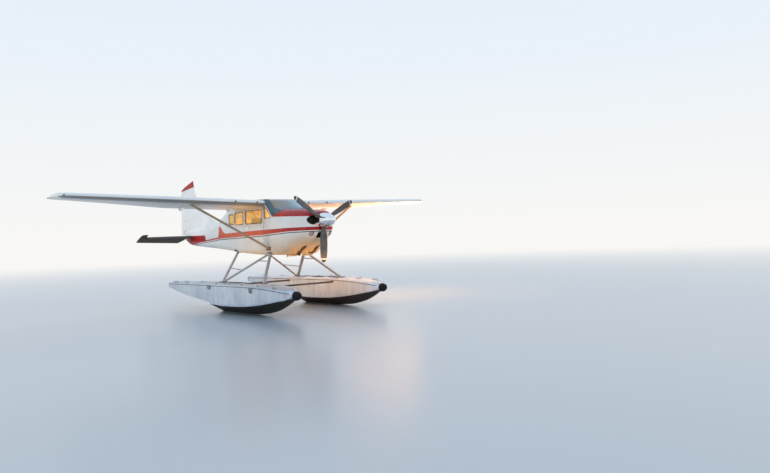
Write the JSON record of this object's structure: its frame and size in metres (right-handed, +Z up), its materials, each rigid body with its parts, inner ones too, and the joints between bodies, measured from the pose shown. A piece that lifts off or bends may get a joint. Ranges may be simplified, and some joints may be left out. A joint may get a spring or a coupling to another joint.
{
  "type": "high-wing floatplane",
  "caption": "High-wing, strut-braced light floatplane with a front engine, a three-blade propeller, a hollow cabin and twin aluminium floats with water rudders.",
  "frame": {"origin": "on the ground under the middle of the aircraft, midway between its foremost and rearmost points", "axes": "+X forward along the body, +Y to the port side, +Z up"},
  "size_m": [8.12, 10.916, 3.7133],
  "materials": {
    "white": "gloss white paint",
    "red": "gloss red paint",
    "alloy": "grey painted sheet",
    "polished": "polished",
    "blade": "satin dark grey",
    "rubber": "black rubber",
    "glass": "clear acrylic",
    "seat": "woven upholstery",
    "panel": "matt black",
    "iron": "heat-darkened metal"
  },
  "bodies": {
    "airframe": {"cabin": "white", "wing_right": "white", "wing_left": "white", "tail_cone": "white", "fin": "white", "stabilizer_right": "white", "stabilizer_left": "white", "wing_strut_right": "white", "wing_strut_left": "white", "cowling": "white", "front_float_strut_right": "alloy", "front_float_strut_left": "alloy", "rear_float_strut_right": "alloy", "rear_float_strut_left": "alloy", "diagonal_float_strut_right": "alloy", "diagonal_float_strut_left": "alloy", "front_spreader_bar": "alloy", "rear_spreader_bar": "alloy", "rear_step_right": "alloy", "rear_step_left": "alloy", "front_step_right": "alloy", "front_step_left": "alloy", "float_right": "alloy", "float_left": "alloy", "bow_bumper_right": "rubber", "bow_bumper_left": "rubber", "rear_window_right": "glass", "rear_window_left": "glass", "aft_window_right": "glass", "aft_window_left": "glass", "windshield": "glass", "side_pane_right": "glass", "side_pane_left": "glass", "front_seat_right": "seat", "front_seat_left": "seat", "rear_bench": "seat", "instrument_panel": "panel", "engine_block": "iron", "exhaust_pipe": "iron"},
    "propeller": {"spinner": "polished", "propeller_blade_1": "blade", "propeller_blade_2": "blade", "propeller_blade_3": "blade"},
    "door_right": {"door_right": "white", "door_window_right": "glass"},
    "door_left": {"door_left": "white", "door_window_left": "glass"},
    "aileron_right": {"aileron_right": "white"},
    "aileron_left": {"aileron_left": "white"},
    "flap_right": {"flap_right": "white"},
    "flap_left": {"flap_left": "white"},
    "rudder": {"rudder": "red"},
    "elevator": {"elevator": "white"},
    "water_rudder_post_right": {"water_rudder_post_right": "alloy"},
    "water_rudder_post_left": {"water_rudder_post_left": "alloy"},
    "water_rudder_blade_right": {"water_rudder_blade_right": "alloy"},
    "water_rudder_blade_left": {"water_rudder_blade_left": "alloy"}
  },
  "joints": [
    {"name": "propeller_spin", "type": "hinge", "parent": "airframe", "child": "propeller", "pos_m": [3.35, 0, 2.2], "axis": [1, 0, 0], "continuous": true},
    {"name": "door_right_swing", "type": "hinge", "parent": "airframe", "child": "door_right", "pos_m": [1.563, -0.579, 2], "axis": [0, 0, 1], "range_deg": [0, 75]},
    {"name": "door_left_swing", "type": "hinge", "parent": "airframe", "child": "door_left", "pos_m": [1.563, 0.579, 2], "axis": [0, 0, -1], "range_deg": [0, 75]},
    {"name": "aileron_right_turn", "type": "hinge", "parent": "airframe", "child": "aileron_right", "pos_m": [0.4281, -2.9, 2.7233], "axis": [-0.0997, 0.9938, -0.0489], "range_deg": [-15, 20]},
    {"name": "aileron_left_turn", "type": "hinge", "parent": "airframe", "child": "aileron_left", "pos_m": [0.4281, 2.9, 2.7233], "axis": [0.0997, 0.9938, 0.0489], "range_deg": [-15, 20]},
    {"name": "flap_right_lower", "type": "hinge", "parent": "airframe", "child": "flap_right", "pos_m": [0.3922, -0.9, 2.5547], "axis": [0, -0.9996, 0.0267], "range_deg": [0, 40]},
    {"name": "flap_left_lower", "type": "hinge", "parent": "airframe", "child": "flap_left", "pos_m": [0.3922, 0.9, 2.5547], "axis": [0, -0.9996, -0.0267], "range_deg": [0, 40]},
    {"name": "rudder_turn", "type": "hinge", "parent": "airframe", "child": "rudder", "pos_m": [-3.735, 0, 2.9], "axis": [0, 0, 1], "range_deg": [-24, 24]},
    {"name": "elevator_turn", "type": "hinge", "parent": "airframe", "child": "elevator", "pos_m": [-3.47, 0, 1.965], "axis": [0, 1, 0], "range_deg": [0, 48]},
    {"name": "water_rudder_right_steer", "type": "hinge", "parent": "airframe", "child": "water_rudder_post_right", "pos_m": [-1.98, -1.3, 0.58], "axis": [0, 0, 1], "range_deg": [-30, 30]},
    {"name": "water_rudder_left_steer", "type": "hinge", "parent": "airframe", "child": "water_rudder_post_left", "pos_m": [-1.98, 1.3, 0.58], "axis": [0, 0, 1], "range_deg": [-30, 30]},
    {"name": "water_rudder_right_lift", "type": "hinge", "parent": "water_rudder_post_right", "child": "water_rudder_blade_right", "pos_m": [-2.04, -1.3, 0.59], "axis": [0, -1, 0], "range_deg": [0, 78]},
    {"name": "water_rudder_left_lift", "type": "hinge", "parent": "water_rudder_post_left", "child": "water_rudder_blade_left", "pos_m": [-2.04, 1.3, 0.59], "axis": [0, -1, 0], "range_deg": [0, 78]}
  ],
  "couplings": [
    {"joint": "water_rudder_right_steer", "follows": "rudder_turn", "ratio": 1.2},
    {"joint": "water_rudder_left_steer", "follows": "rudder_turn", "ratio": 1.2},
    {"joint": "water_rudder_left_lift", "follows": "water_rudder_right_lift", "ratio": 1},
    {"joint": "flap_left_lower", "follows": "flap_right_lower", "ratio": 1}
  ]
}
